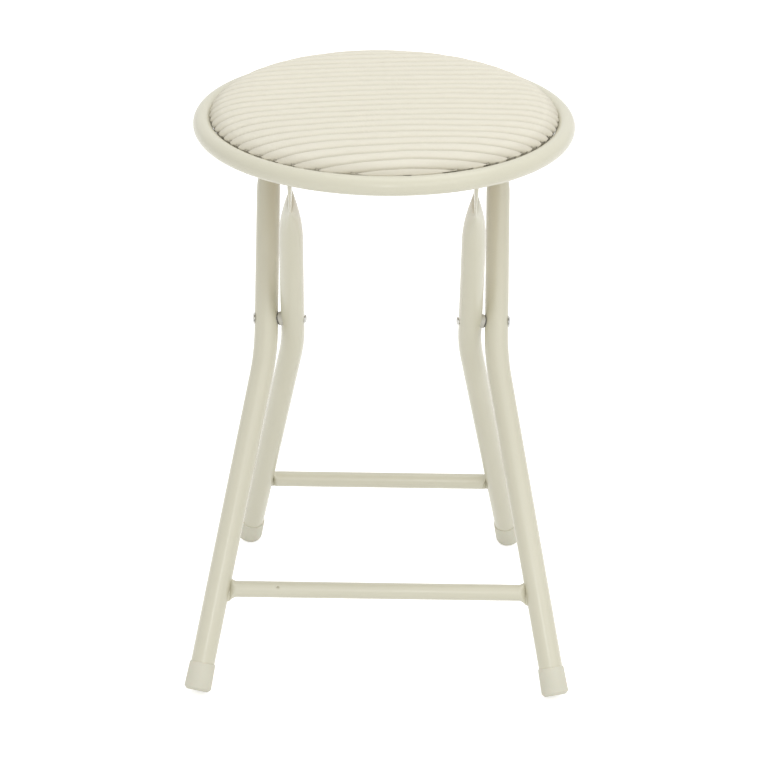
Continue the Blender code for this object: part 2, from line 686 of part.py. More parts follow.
def make_ring(parent):
    """The seat's ring, a bent tube whose bore is open at a vent hole on the inner side."""
    matrix = Matrix.Translation((0.0, 0.0, SEAT_RING_HEIGHT))
    ring = add_piece("seat_ring", torus_mesh("seat_ring", RING_TUBE / 2, 64, 14), POWDER_COAT, parent, matrix)
    bore = add_cutter("ring_bore", torus_mesh("ring_bore", RING_TUBE / 2 - RING_WALL, 64, 8), matrix)
    cut(ring, bore)
    vent = cylinder_mesh("ring_vent", BAR_VENT, RING_TUBE / 2, 10)
    place = Matrix.Translation((0.0, RING_RADIUS, SEAT_RING_HEIGHT - RING_TUBE / 2))
    cut(ring, add_cutter("ring_vent", vent, place))


def make_board(parent):
    mesh = cylinder_mesh("seat_board", 2 * BOARD_RADIUS, BOARD_THICKNESS, 64)
    matrix = Matrix.Translation((0.0, 0.0, (BOARD_BOTTOM + BOARD_TOP) / 2))
    board = add_piece("seat_board", mesh, PLYWOOD, parent, matrix)
    for side_name, side in SIDES:
        for place, y in (("front", -SCREW_Y), ("rear", SCREW_Y)):
            cut(board, screw_cutter(f"board_{place}_{side_name}_hole", side * RAIL_MIDDLE_X, y))


def crown(radius, widest, edge_height, rise):
    """The height of a cushion's top: nearly flat in the middle and round at its shoulder."""
    share = min(radius / widest, 1.0)
    return edge_height + rise * math.sqrt(max(1 - share**COVER_SHOULDER, 0.0))


def make_cover(parent):
    """The ribbed cover: a sheet with a crest and a groove for each rib, drawn down round the board."""
    rows, columns = 2 * RIB_COUNT, 6
    bm = bmesh.new()
    bmesh.ops.create_grid(bm, x_segments=columns, y_segments=rows, size=1.0)
    reach = COVER_RADIUS * 0.988
    for vert in bm.verts:
        row = round((vert.co.y + 1) / 2 * rows)
        groove = RIB_DEPTH if row % 2 == 0 else 0.0
        y = reach * vert.co.y
        chord = math.sqrt(COVER_RADIUS**2 - y**2)
        x = chord * math.sin(vert.co.x * math.pi / 2)
        on_edge = abs(vert.co.x) > 0.999 or abs(vert.co.y) > 0.999
        radius = math.hypot(x, y)
        height = crown(radius, COVER_RADIUS, COVER_EDGE_Z, COVER_CROWN)
        if on_edge:
            x, y = (value * (COVER_RADIUS - groove / 2) / radius for value in (x, y))
            height, groove = COVER_EDGE_Z, 0.0
        vert.co = (x, y, height - groove)
    skirt = (
        (COVER_RADIUS - 0.0014, SEAT_RING_HEIGHT + 0.0045),
        (BOARD_RADIUS + 2 * SEAT_GAP + COVER_WALL, BOARD_BOTTOM),
    )
    for radius, height in skirt:
        edges = [edge for edge in bm.edges if edge.is_boundary]
        for item in bmesh.ops.extrude_edge_only(bm, edges=edges)["geom"]:
            if isinstance(item, bmesh.types.BMVert):
                share = radius / math.hypot(item.co.x, item.co.y)
                item.co = (item.co.x * share, item.co.y * share, height)
    bmesh.ops.recalc_face_normals(bm, faces=bm.faces)
    bmesh.ops.rotate(bm, verts=bm.verts, matrix=Matrix.Rotation(RIB_TURN, 3, "Z"))
    cover = add_piece("seat_cover", mesh_from(bm, "seat_cover", 180), CORDUROY, parent)
    wall = cover.modifiers.new("wall", "SOLIDIFY")
    wall.thickness = COVER_WALL
    wall.offset = -1.0
    wall.use_even_offset = False


def make_foam(parent):
    """The foam under the cover, a turned pad with the same crown."""
    widest = BOARD_RADIUS - FOAM_INSET
    bottom = BOARD_TOP + SEAT_GAP
    top_rise = COVER_CROWN - COVER_WALL - RIB_DEPTH - 3 * FOAM_GAP
    edge = COVER_EDGE_Z - FOAM_GAP
    profile = [(0.0, crown(0.0, widest, edge, top_rise))]
    for share in (0.3, 0.6, 0.8, 0.9, 0.96, 1.0):
        profile.append((widest * share, crown(widest * share, widest, edge, top_rise)))
    profile += [(widest, bottom), (0.0, bottom)]
    add_piece("seat_foam", turned_mesh("seat_foam", profile, 48), FOAM, parent)


clear_scene()
STOOL = new_collection("folding stool", bpy.context.scene.collection)
CUTTERS = new_collection("cutters", bpy.context.scene.collection)


def build():
    scissor_axis = joint_empty("scissor_axis", 0.0, PIVOT_HEIGHT)
    rear_y = (REAR_HINGE_HEIGHT - PIVOT_HEIGHT) * math.tan(LEAN)
    seat_axis = joint_empty("seat_axis", rear_y, REAR_HINGE_HEIGHT)
    outer_legs = make_legs("outer", REAR_HINGE_HEIGHT, None)
    inner_legs = make_legs("inner", FRONT_PIN_HEIGHT, scissor_axis)
    front_bar, front_middle = make_crossbar("front_crossbar", outer_legs, None)
    make_bar_vent(front_bar, front_middle)
    make_crossbar("rear_crossbar", inner_legs, scissor_axis)
    floor_cutter = make_floor_cutter()
    make_foot_caps("front", outer_legs, floor_cutter, None)
    make_foot_caps("rear", inner_legs, floor_cutter, scissor_axis)
    make_pivots(outer_legs)
    make_front_pins(inner_legs, scissor_axis)
    hinge = make_rear_hinges(outer_legs, seat_axis)
    pin = inner_legs["right"].at(inner_legs["right"].top)[0]
    make_ring(seat_axis)
    make_rails(pin, hinge, seat_axis)
    make_board(seat_axis)
    make_screws(seat_axis)
    make_foam(seat_axis)
    make_cover(seat_axis)


build()
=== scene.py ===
import math

import bmesh
import bpy
from mathutils import Matrix, Vector, noise
from mathutils.bvhtree import BVHTree


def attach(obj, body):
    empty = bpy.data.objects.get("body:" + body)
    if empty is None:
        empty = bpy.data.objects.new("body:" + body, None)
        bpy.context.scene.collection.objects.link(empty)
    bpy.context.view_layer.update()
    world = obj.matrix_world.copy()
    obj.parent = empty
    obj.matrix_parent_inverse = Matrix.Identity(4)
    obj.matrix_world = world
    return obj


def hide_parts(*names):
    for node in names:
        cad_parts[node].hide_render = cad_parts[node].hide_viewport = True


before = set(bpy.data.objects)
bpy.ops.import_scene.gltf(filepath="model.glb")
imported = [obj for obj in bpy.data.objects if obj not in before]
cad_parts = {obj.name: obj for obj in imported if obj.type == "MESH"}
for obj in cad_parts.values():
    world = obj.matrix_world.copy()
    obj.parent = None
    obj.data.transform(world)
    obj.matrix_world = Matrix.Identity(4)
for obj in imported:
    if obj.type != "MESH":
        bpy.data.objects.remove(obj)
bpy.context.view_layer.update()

# The ring and the legs, in metres, as in the CAD
RING_RADIUS = 0.1425
RING_TUBE = 0.015
RING_HEIGHT = 0.436
PIVOT_HEIGHT = RING_HEIGHT - 0.168
FOOT_REACH = 0.144
LEG_TUBE = 0.019
LEG_GAP = 0.0022
INNER_LEG_X = 0.0715
OUTER_LEG_X = INNER_LEG_X + LEG_TUBE + LEG_GAP
INNER_FOOT_X = 0.114
OUTER_FOOT_X = 0.144
BEND_DROP = 0.025
BEND_RADIUS = 0.200
TAB_THICKNESS = 0.003
FRONT_PIN_HEIGHT = 0.4225
REAR_HINGE_HEIGHT = FRONT_PIN_HEIGHT - 0.0105
LEAN = math.atan2(FOOT_REACH, PIVOT_HEIGHT)

# The bars, the caps, the rails and the board, as in the CAD
BAR_TUBE = 0.013
BAR_HEIGHT = 0.076
BAR_END_HEIGHT = 0.0195
CAP_LENGTH = 0.0225
CAP_RISE = {"outer": 0.00441, "inner": 0.00432}  # height of the middle of the cap's end face
RAIL_WIDTH = 0.015
RAIL_SHEET = 0.0015
RAIL_INNER_X = INNER_LEG_X + TAB_THICKNESS / 2 + 0.002
RAIL_OUTER_X = RAIL_INNER_X + RAIL_WIDTH
BOARD_RADIUS = RING_RADIUS - RING_TUBE / 2 - 0.0015
BOARD_BOTTOM = RING_HEIGHT + 0.0013
BOARD_THICKNESS = 0.006

# Rivets and pins: a shank's diameter, and a head's diameter and height
PIVOT_SHANK = 0.005
PIVOT_HEAD = (0.0092, 0.0011)
PIVOT_PEEN = (0.0068, 0.0016)
PIN_SHANK = 0.006
PIN_HEAD = (0.0112, 0.0024)
PIN_COLLAR = (0.0086, 0.0015)
PIN_SHOULDER = (0.0056, 0.0036, 0.0050)  # its radius, and where it starts and ends along the pin
HEAD_EDGE = 0.18  # share of a head's height that is upright
HEAD_GAP = 0.0003
BUSH_RADIUS = 0.0056
BUSH_NECK = 0.88  # the thinner part's share of the radius, beside the outer tube

# Sizes that follow the photograph more closely than the CAD does
TAB_BELOW_HOLE = 0.0305
PRESS_LENGTH = {"outer": 0.030, "inner": 0.045}
BAR_PRESS_LENGTH = 0.0055
CAP_DIAMETER = 0.0216
CAP_MOUTH_WALL = 0.0008
VENT_X = -0.0797
VENT_TURN = math.radians(50)
VENT_DEPTH = 0.0014

# The pad, also from the photograph. A pair holds the value at the back and the one at the front
COVER_RADIUS = 0.1368
COVER_EDGE_Z = 0.4412
COVER_CROWN = 0.0176
COVER_SHOULDER = (6.5, 5.3)  # a higher power keeps the top flat for longer
COVER_ROUNDNESS = (0.5, 0.75)
COVER_TILT = 0.020
FRONT_TILT = 0.3  # share of the tilt that the front half has
EDGE_LIFT = 0.0008
RIB_PITCH = 0.0115
RIB_START = 0.0189
RIB_TURN = math.radians(7.0)
RIB_DEPTH = 0.0029
RIB_WAVES = ((16.0, 26.0, 3.7, 0.11), (45.0, 60.0, 9.1, 0.05))  # scales along and across, layer, size
EDGE_STRETCH = 0.029
TUCK_RADIUS = RING_TUBE / 2 + 0.0003
TUCK = ((33, 1.2), (22, 0.9), (10, 0.4))  # degrees up the ring's inner side, and share of the ribs' relief
HEM = ((0.1340, 0.43715), (0.1310, 0.43700), (0.1240, 0.43695), (0.1180, 0.43700), (0.1174, 0.4378))
HEM_INNER_RADIUS = 0.119

# The cloth simulation that fills the pad
FORM_RADII = (0.02, 0.06, 0.09, 0.11, 0.122, 0.130, 0.1345)
FORM_BOTTOM_RADII = (0.1335, 0.10, 0.04)
FORM_BOTTOM = 0.4435
FORM_UNDER_CREST = RIB_DEPTH / 2 + 0.001
HELD_BELOW = FORM_BOTTOM + 0.003
HELD_OUTSIDE = 0.129
SWELL_FRAMES = 20
SWELL_LIMIT = 0.006
SWELL_CELL = 0.0045
SWELL_CELLS = 62
SWELL_REACH = 0.127
SWELL_FADE = (0.125, 0.05)  # gone at this radius, over this width
SWELL_SHARE = 0.4

# How finely the shapes are made
LEG_SIDES = 56
BEND_STEPS = 12
PRESS_STEPS = 28
TAB_STEPS = 12
BAR_SIDES = 40
BAR_STEPS = 12
RING_SPOKES = 144
RING_SIDES = 32
PAD_SPOKES = 540
PAD_STEPS = 150
POLE = 0.00002  # radius of the small ring at the end of a turned shape

SIDES = (("left", -1), ("right", 1))
BODY_OF = {"outer": "outer_frame", "inner": "inner_frame"}
SEEN_DIRECTLY = ("Is Camera Ray", "Is Glossy Ray", "Is Transmission Ray")


class Number:
    """A socket that carries a number. Arithmetic on it adds Math nodes."""

    def __init__(self, finish, socket):
        self.finish = finish
        self.socket = socket

    def maths(self, operation, first, second=None, clamp=False):
        values = {0: first} if second is None else {0: first, 1: second}
        settings = {"operation": operation, "use_clamp": clamp}
        return self.finish.node("ShaderNodeMath", settings, values).number(0)

    def __add__(self, other):
        return self.maths("ADD", self, other)

    def __radd__(self, other):
        return self.maths("ADD", other, self)

    def __sub__(self, other):
        return self.maths("SUBTRACT", self, other)

    def __rsub__(self, other):
        return self.maths("SUBTRACT", other, self)

    def __mul__(self, other):
        return self.maths("MULTIPLY", self, other)

    def __rmul__(self, other):
        return self.maths("MULTIPLY", other, self)

    def clamped(self):
        return self.maths("ADD", self, 0.0, clamp=True)

    def fraction(self):
        return self.maths("FRACT", self)


class Added:
    """A node that has been added, and its outputs."""

    def __init__(self, finish, made):
        self.finish = finish
        self.made = made

    def number(self, key):
        return Number(self.finish, self.made.outputs[key])

    def out(self, key=0):
        return self.made.outputs[key]


class Finish:
    """A material, with the few ways that its nodes are added."""

    def __init__(self, name, **constants):
        self.material = bpy.data.materials.new(name)
        self.material.use_nodes = True
        self.tree = self.material.node_tree
        self.shader = self.tree.nodes["Principled BSDF"]
        for key, value in constants.items():
            self.shader.inputs[key.replace("_", " ")].default_value = value
        self.place = self.node("ShaderNodeTexCoord", {}, {}).out("Object")

    def node(self, kind, settings, values):
        made = self.tree.nodes.new(kind)
        for key, value in settings.items():
            if key == "stops":
                self.set_stops(made.color_ramp, value)
            else:
                setattr(made, key, value)
        for key, value in values.items():
            self.feed(made.inputs[key], value)
        return Added(self, made)

    def set_stops(self, ramp, stops):
        while len(ramp.elements) > 1:
            ramp.elements.remove(ramp.elements[-1])
        for i, (position, colour) in enumerate(stops):
            stop = ramp.elements[0] if i == 0 else ramp.elements.new(position)
            stop.position = position
            stop.color = (*colour, 1.0)

    def feed(self, socket, value):
        if isinstance(value, Number):
            value = value.socket
        if isinstance(value, bpy.types.NodeSocket):
            self.tree.links.new(value, socket)
        else:
            socket.default_value = value

    def scaled(self, x, y, z, vector=None):
        """Object coordinates, or another vector, stretched by these factors."""
        values = {0: vector or self.place, 1: (x, y, z)}
        return self.node("ShaderNodeVectorMath", {"operation": "MULTIPLY"}, values).out()

    def turned_by(self, angle):
        """Object coordinates turned about Z."""
        values = {"Vector": self.place, "Angle": angle}
        return self.node("ShaderNodeVectorRotate", {"rotation_type": "Z_AXIS"}, values).out()

    def noise(self, scale, detail=2.0, rough=0.5, vector=None):
        values = {"Vector": vector or self.place, "Scale": scale, "Detail": detail, "Roughness": rough}
        return self.node("ShaderNodeTexNoise", {}, values).number("Fac")

    def attribute(self, name):
        return self.node("ShaderNodeAttribute", {"attribute_name": name}, {}).number("Fac")

    def between(self, low, high, number):
        """Maps low..high softly to 0..1, held inside."""
        values = {"Value": number, "From Min": low, "From Max": high}
        return self.node("ShaderNodeMapRange", {"interpolation_type": "SMOOTHSTEP"}, values).number(0)

    def mix(self, amount, first, second):
        settings = {"data_type": "RGBA", "blend_type": "MIX"}
        values = {0: amount, 6: first, 7: second}
        return self.node("ShaderNodeMix", settings, values).out(2)

    def ramp(self, number, stops):
        return self.node("ShaderNodeValToRGB", {"stops": stops}, {"Fac": number}).out("Color")

    def bump(self, height, distance, strength, under=None):
        values = {"Height": height, "Distance": distance, "Strength": strength}
        if under:
            values["Normal"] = under
        return self.node("ShaderNodeBump", {}, values).out()

    def use(self, **sockets):
        for key, value in sockets.items():
            self.feed(self.shader.inputs[key.replace("_", " ")], value)
        return self.material


def powder_coat():
    """Cream powder coat: a fine orange peel, a little uneven in gloss, with fine darker specks."""
    cream, light_cream = (0.630, 0.606, 0.475, 1), (0.674, 0.650, 0.52, 1)
    dark_speck = (0.56, 0.53, 0.44, 1)
    coat = Finish("cream powder coat", IOR=1.5, Coat_Weight=0.6, Coat_Roughness=0.18)
    tone = coat.mix(coat.noise(14.0, 3.0), cream, light_cream)
    specks = coat.between(0.66, 0.78, coat.noise(2600.0, 1.0))
    tone = coat.mix(specks * 0.25, tone, dark_speck)
    peel = coat.noise(620.0, 2.0) + 0.35 * coat.noise(1900.0, 1.0)
    gloss = 0.42 + 0.12 * coat.noise(55.0, 3.0)
    return coat.use(Base_Color=tone, Roughness=gloss, Normal=coat.bump(peel, 0.00016, 0.5))


def zinc():
    """Zinc plate: grey with faint blue and straw patches and fine turning marks."""
    grey, straw, blue = (0.50, 0.51, 0.52), (0.62, 0.61, 0.57), (0.56, 0.57, 0.60)
    plate = Finish("bright zinc plate", Metallic=1.0)
    tone = plate.ramp(plate.noise(160.0, 3.0), [(0.3, grey), (0.55, straw), (0.75, blue)])
    marks = plate.noise(900.0, 3.0, vector=plate.scaled(1.0, 4.0, 4.0))
    gloss = 0.26 + 0.2 * marks
    return plate.use(Base_Color=tone, Roughness=gloss, Normal=plate.bump(marks, 0.00005, 0.5))


def cap_plastic():
    """Ivory polythene: spark-textured, scuffed and a little grey along its lowest edge."""
    ivory, light_ivory = (0.65, 0.632, 0.52, 1), (0.69, 0.672, 0.56, 1)
    scuffed_grey = (0.42, 0.39, 0.33, 1)
    scuff_height = 0.006
    plastic = Finish("ivory foot plastic", IOR=1.5, Subsurface_Weight=0.05, Subsurface_Scale=0.003)
    height = plastic.node("ShaderNodeSeparateXYZ", {}, {"Vector": plastic.place}).number("Z")
    low = 1 - plastic.between(0.0, scuff_height, height)
    scuffs = plastic.between(0.5, 0.7, plastic.noise(420.0, 4.0, 0.7)) * low
    tone = plastic.mix(plastic.noise(60.0, 2.0), ivory, light_ivory)
    tone = plastic.mix(scuffs * 0.6, tone, scuffed_grey)
    gloss = 0.46 + 0.14 * plastic.noise(230.0, 2.0)
    grain = plastic.noise(1500.0, 2.0)
    return plastic.use(Base_Color=tone, Roughness=gloss, Normal=plastic.bump(grain, 0.00008, 0.6))


def bush_plastic():
    """Grey nylon, with painted shade in the neck beside the outer tube."""
    grey, light_grey = (0.50, 0.49, 0.43, 1), (0.58, 0.565, 0.50, 1)
    painted_neck_shade = (0.10, 0.095, 0.08, 1)
    nylon = Finish("grey bush plastic", IOR=1.5)
    tone = nylon.mix(nylon.noise(200.0, 2.0), grey, light_grey)
    # Painted shade: the neck's colour is darkened where the gap beside the outer tube lies in shadow.
    tone = nylon.mix(nylon.attribute("neck"), tone, painted_neck_shade)
    grain = nylon.noise(1800.0, 2.0)
    gloss = 0.4 + 0.15 * grain
    return nylon.use(Base_Color=tone, Roughness=gloss, Normal=nylon.bump(grain, 0.00005, 0.5))


def plywood():
    """Birch ply seen from below: pale, with the flame-shaped figure of peeled wood and fine pores."""
    tan, birch, pale = (0.56, 0.42, 0.265), (0.63, 0.49, 0.325), (0.69, 0.555, 0.39)
    line_brown, pore_brown = (0.45, 0.31, 0.18, 1), (0.34, 0.22, 0.12, 1)
    year_rings = 16.0
    ply = Finish("birch plywood")
    grain = ply.noise(5.0, 5.0, 0.62, ply.scaled(4.0, 60.0, 60.0))
    figure = ply.noise(1.0, 2.0, 0.35, ply.scaled(2.6, 11.0, 11.0)) + 0.02 * grain
    band = (figure * year_rings).fraction()
    shade = 0.75 * grain + 0.12 * band + 0.06
    tone = ply.ramp(shade, [(0.3, tan), (0.5, birch), (0.8, pale)])
    line = ply.between(0.80, 0.97, band) * (1 - ply.between(0.97, 1.0, band))
    tone = ply.mix(line * 0.35, tone, line_brown)
    pores = ply.noise(26.0, 3.0, 0.6, ply.scaled(6.0, 110.0, 110.0))
    tone = ply.mix(ply.between(0.62, 0.75, pores) * 0.4, tone, pore_brown)
    gloss = 0.62 + 0.2 * grain
    return ply.use(Base_Color=tone, Roughness=gloss, Normal=ply.bump(grain + pores, 0.00015, 0.5))


def corduroy():
    """Cream wide-rib cord: brushed pile, with painted shade in the grooves, at their mouths by the ring and
    along the rim.
    """
    cream, light_cream = (0.775, 0.742, 0.628, 1), (0.808, 0.776, 0.667, 1)
    brushed, ruffled = (0.835, 0.806, 0.702, 1), (0.735, 0.697, 0.574, 1)
    painted_groove_shade, painted_mouth_shade = (0.42, 0.39, 0.285, 1), (0.09, 0.08, 0.055, 1)
    painted_rim_shade = (0.56, 0.52, 0.415, 1)
    sheen = {"Sheen_Weight": 0.35, "Sheen_Roughness": 0.5, "Sheen_Tint": (1.0, 0.97, 0.90, 1)}
    cord = Finish("cream cord fabric", **sheen)
    along = cord.scaled(0.45, 1.0, 1.0, cord.turned_by(-RIB_TURN))
    fibre = cord.noise(1500.0, 4.0, 0.7, along)
    nap = cord.noise(95.0, 4.0, 0.6, along)
    tone = cord.mix(cord.noise(16.0, 2.0), cream, light_cream)
    tone = cord.mix(cord.between(0.35, 0.75, nap) * 0.35, tone, brushed)
    tone = cord.mix(cord.between(0.30, 0.62, fibre) * 0.30, cord.mix(0.5, tone, ruffled), tone)
    # Painted shade: the grooves between the ribs are darkened in the colour.
    tone = cord.mix(cord.attribute("groove") * 0.52, tone, painted_groove_shade)
    # Painted shade: the dark mouths where the grooves and the tuck meet the ring.
    tone = cord.mix(cord.between(0.3, 0.9, cord.attribute("mouth")) * 0.9, tone, painted_mouth_shade)
    # Painted shade: the rim, which turns down away from the light, is darkened.
    tone = cord.mix(cord.attribute("rim") * 0.5, tone, painted_rim_shade)
    relief = cord.bump(nap, 0.0009, 0.5, cord.bump(fibre, 0.0006, 0.7))
    return cord.use(Base_Color=tone, Roughness=0.86 + 0.12 * fibre, Normal=relief)


def mesh_of(name, bm):
    """The shape as a mesh. The shape itself is let go."""
    mesh = bpy.data.meshes.new(name)
    bm.to_mesh(mesh)
    bm.free()
    return mesh


def placed(name, data):
    """A new object in the scene that shows this data."""
    made = bpy.data.objects.new(name, data)
    bpy.context.scene.collection.objects.link(made)
    return made


def with_modifiers(piece):
    """A new mesh of the piece as its modifiers leave it."""
    bpy.context.view_layer.update()
    return bpy.data.meshes.new_from_object(piece.evaluated_get(bpy.context.evaluated_depsgraph_get()))


def finished(name, bm, finish, body, replaced, sharp=40):
    """Makes a piece from this shape, smooth but for its sharp edges, and puts it on its body."""
    bm.normal_update()
    mesh = mesh_of(name, bm)
    mesh.shade_smooth()
    if sharp < 180:
        mesh.set_sharp_from_angle(angle=math.radians(sharp))
    mesh.materials.append(finish)
    piece = placed(name, mesh)
    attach(piece, body)
    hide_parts(*replaced)
    return piece


def loft(bm, rings, closed=False):
    """Joins rings of points by faces, and closes the two ends or joins them."""
    made = [[bm.verts.new(point) for point in ring] for ring in rings]
    count = len(made[0])
    pairs = list(zip(made, made[1:]))
    if closed:
        pairs.append((made[-1], made[0]))
    for low, high in pairs:
        for i in range(count):
            j = (i + 1) % count
            bm.faces.new((low[i], low[j], high[j], high[i]))
    if not closed:
        bm.faces.new(list(reversed(made[0])))
        bm.faces.new(made[-1])
    bmesh.ops.recalc_face_normals(bm, faces=bm.faces)
    return made


def arc(centre, radius, start, end, steps):
    for step in range(steps + 1):
        angle = math.radians(start + (end - start) * step / steps)
        yield centre[0] + radius * math.cos(angle), centre[1] + radius * math.sin(angle)


def circle(radius, height, steps):
    """Points round the Z axis at this height."""
    for i in range(steps):
        angle = 2 * math.pi * i / steps
        yield Vector((radius * math.cos(angle), radius * math.sin(angle), height))


def turned(profile, matrix, steps=40):
    """A solid turned about Z from (radius, height) points, put in place by the matrix."""
    rings = []
    for radius, height in profile:
        rings.append([matrix @ point for point in circle(max(radius, POLE), height, steps)])
    bm = bmesh.new()
    loft(bm, rings)
    return bm


def along_x(x, y, z, side=1):
    """Puts a shape turned about Z here with its top pointing away from the middle plane."""
    return Matrix.Translation((side * x, y, z)) @ Matrix.Rotation(side * math.pi / 2, 4, "Y")


def eased(share):
    """A soft step: 0 up to 0, and 1 from 1 on."""
    share = min(1.0, max(0.0, share))
    return share * share * (3 - 2 * share)


def blended(pair, share):
    """The pair's first value at share 0, its second at share 1."""
    return pair[0] + (pair[1] - pair[0]) * share


def pressed_half_depth(half_width, tube):
    """Half the long way of a pressed tube whose girth stays as it was."""
    return half_width + math.pi / 2 * (tube / 2 - half_width)


def flattened(half, flat, v, ease):
    """How far along a flattened tube's long way this part of its section is; v runs from -1 to 1."""
    return half * v + math.copysign(flat, v) * min(1.0, abs(v) * ease)


class Leg:
    """One leg's middle line, in a plane that leans, bent outwards below the pivot."""

    def __init__(self, frame_name, side):
        outer = frame_name == "outer"
        self.side = side
        self.top_x = OUTER_LEG_X if outer else INNER_LEG_X
        self.foot_x = OUTER_FOOT_X if outer else INNER_FOOT_X
        self.forward = -1 if outer else 1
        top_height = REAR_HINGE_HEIGHT if outer else FRONT_PIN_HEIGHT
        self.cap_rise = CAP_RISE[frame_name]
        self.press_length = PRESS_LENGTH[frame_name]
        self.top = top_height / math.cos(LEAN)
        self.corner = (PIVOT_HEIGHT - BEND_DROP) / math.cos(LEAN)
        self.splay = math.atan2(self.foot_x - self.top_x, self.corner)
        self.tangent = BEND_RADIUS * math.tan(self.splay / 2)
        self.depth = Vector((0.0, math.cos(LEAN), self.forward * math.sin(LEAN)))

    def point(self, x, up):
        y = self.forward * (FOOT_REACH - up * math.sin(LEAN))
        return Vector((self.side * x, y, up * math.cos(LEAN)))

    def at(self, up):
        """The middle line's point this far up, and the direction across it."""
        high, low = self.corner + self.tangent, self.corner - self.tangent * math.cos(self.splay)
        if up >= high:
            x, turn = self.top_x, 0.0
        elif up <= low:
            x, turn = self.foot_x - up * math.tan(self.splay), self.splay
        else:
            turn = math.asin((high - up) / BEND_RADIUS)
            x = self.top_x + BEND_RADIUS * (1 - math.cos(turn))
        return self.point(x, up), self.point(math.cos(turn), math.sin(turn)) - self.point(0.0, 0.0)

    def cap_matrix(self):
        """Turns +Z up the leg, with the origin in the middle of the cap's end face."""
        place, _ = self.at(self.cap_rise / math.cos(LEAN))
        down = (self.point(self.foot_x, 0.0) - self.at(self.corner / 2)[0]).normalized()
        turn = Vector((0.0, 0.0, 1.0)).rotation_difference(-down)
        return Matrix.Translation(place) @ turn.to_matrix().to_4x4()

    def outline(self, up, half, flat_sided, shrink=1.0):
        """The tube's section here: round, or pressed oval to this half width, flat-sided at the tab."""
        place, across = self.at(up)
        depth = pressed_half_depth(half, LEG_TUBE)
        for i in range(LEG_SIDES):
            angle = 2 * math.pi * (i + 0.5) / LEG_SIDES
            u, v = math.cos(angle), math.sin(angle)
            along = blended((depth * v, flattened(half, depth - half, v, 6)), flat_sided) * shrink
            yield place + across * (half * u) + self.depth * along

    def rings(self):
        """Sections from the foot to the tab's rounded end: round, bent, pressed and flat."""
        least = TAB_THICKNESS / 2
        creased = 0.15
        lead_in = 0.004
        flat_start = self.top - TAB_BELOW_HOLE
        round_end = flat_start - self.press_length
        foot = (self.cap_rise + lead_in) / math.cos(LEAN)
        bend = (self.corner - 1.1 * self.tangent, self.corner + 1.1 * self.tangent)
        lengths = [foot, (foot + bend[0]) / 2]
        lengths += [blended(bend, i / BEND_STEPS) for i in range(BEND_STEPS + 1)]
        lengths.append(round_end - lead_in)
        for up in lengths:
            yield self.outline(up, LEG_TUBE / 2, 0.0)
        for i in range(PRESS_STEPS + 1):
            share = math.sin(math.pi / 2 * i / PRESS_STEPS)
            swell = max(1 - share**2, 0.0) ** 0.75
            half = blended((least, LEG_TUBE / 2), swell)
            yield self.outline(round_end + self.press_length * share, half, creased * share**8)
        for part, flat_sided in ((0.35, 0.3), (0.7, 0.8)):
            yield self.outline(flat_start + TAB_BELOW_HOLE * part, least, flat_sided)
        tab = pressed_half_depth(least, LEG_TUBE)
        for i in range(TAB_STEPS + 1):
            turn = math.radians(87.0 * i / TAB_STEPS)
            thin = least if i < TAB_STEPS else least * 0.6
            yield self.outline(self.top + tab * math.sin(turn), thin, 1.0, math.cos(turn))


def make_legs(coat):
    legs = {}
    for frame_name in ("outer", "inner"):
        for side_name, side in SIDES:
            leg = legs[frame_name, side_name] = Leg(frame_name, side)
            bm = bmesh.new()
            loft(bm, [list(ring) for ring in leg.rings()])
            name = f"{frame_name}_leg_{side_name}"
            finished(name + "_tube", bm, coat, BODY_OF[frame_name], [name])
    return legs


def bar_sections(leg_x):
    """Half a bar from its middle outwards: place, half width, and how much the weld's fillet widens it."""
    round_half = BAR_TUBE / 2
    pressed_half = (math.pi * BAR_TUBE / 2 - BAR_END_HEIGHT) / (math.pi - 2)
    press_start = leg_x - LEG_TUBE / 2 - BAR_PRESS_LENGTH
    yield 0.0, round_half, 1.0
    yield press_start * 0.6, round_half, 1.0
    for i in range(BAR_STEPS + 1):
        share = i / BAR_STEPS
        yield press_start + BAR_PRESS_LENGTH * share, blended((round_half, pressed_half), share**1.8), 1.0
    for short_of_middle, fillet in ((0.46, 1.07), (0.36, 1.16), (0.15, 1.2)):
        yield leg_x - LEG_TUBE * short_of_middle, pressed_half, fillet


def make_crossbar(node, frame_name, leg, coat):
    """The bar with its ends pressed flat, and a fillet of weld round each end."""
    middle, _ = leg.at(BAR_HEIGHT / math.cos(LEAN))
    up_leg = Vector((0.0, leg.point(0, 1).y - leg.point(0, 0).y, math.cos(LEAN)))
    half_bar = list(bar_sections(middle.x))
    other_half = [(-x, half, fillet) for x, half, fillet in reversed(half_bar[1:])]
    rings = []
    for x, half, fillet in other_half + half_bar:
        flat = pressed_half_depth(half, BAR_TUBE) - half
        taller = 1 + (fillet - 1) * 0.5
        ring = []
        for i in range(BAR_SIDES):
            angle = 2 * math.pi * (i + 0.5) / BAR_SIDES
            across = half * math.cos(angle) * fillet
            along = flattened(half, flat, math.sin(angle), 5) * taller
            ring.append(Vector((x, middle.y, middle.z)) + leg.depth * across + up_leg * along)
        rings.append(ring)
    bm = bmesh.new()
    loft(bm, rings)
    return finished(node + "_tube", bm, coat, BODY_OF[frame_name], [node]), middle


def make_vent(bar, middle):
    """The drain hole in the front bar, sunk into the tube."""
    turn = Matrix.Rotation(VENT_TURN, 4, "X")
    place = Vector((VENT_X, middle.y, middle.z)) + turn @ Vector((0.0, 0.0, BAR_TUBE / 2))
    hole = turned([(0.0011, -VENT_DEPTH), (0.0012, 0.002)], Matrix.Translation(place) @ turn, 20)
    cutter = placed("vent", mesh_of("vent", hole))
    bore = bar.modifiers.new("vent", "BOOLEAN")
    bore.object = cutter
    bore.solver = "EXACT"
    cut = with_modifiers(bar)
    bar.modifiers.clear()
    bar.data = cut
    bpy.data.objects.remove(cutter)


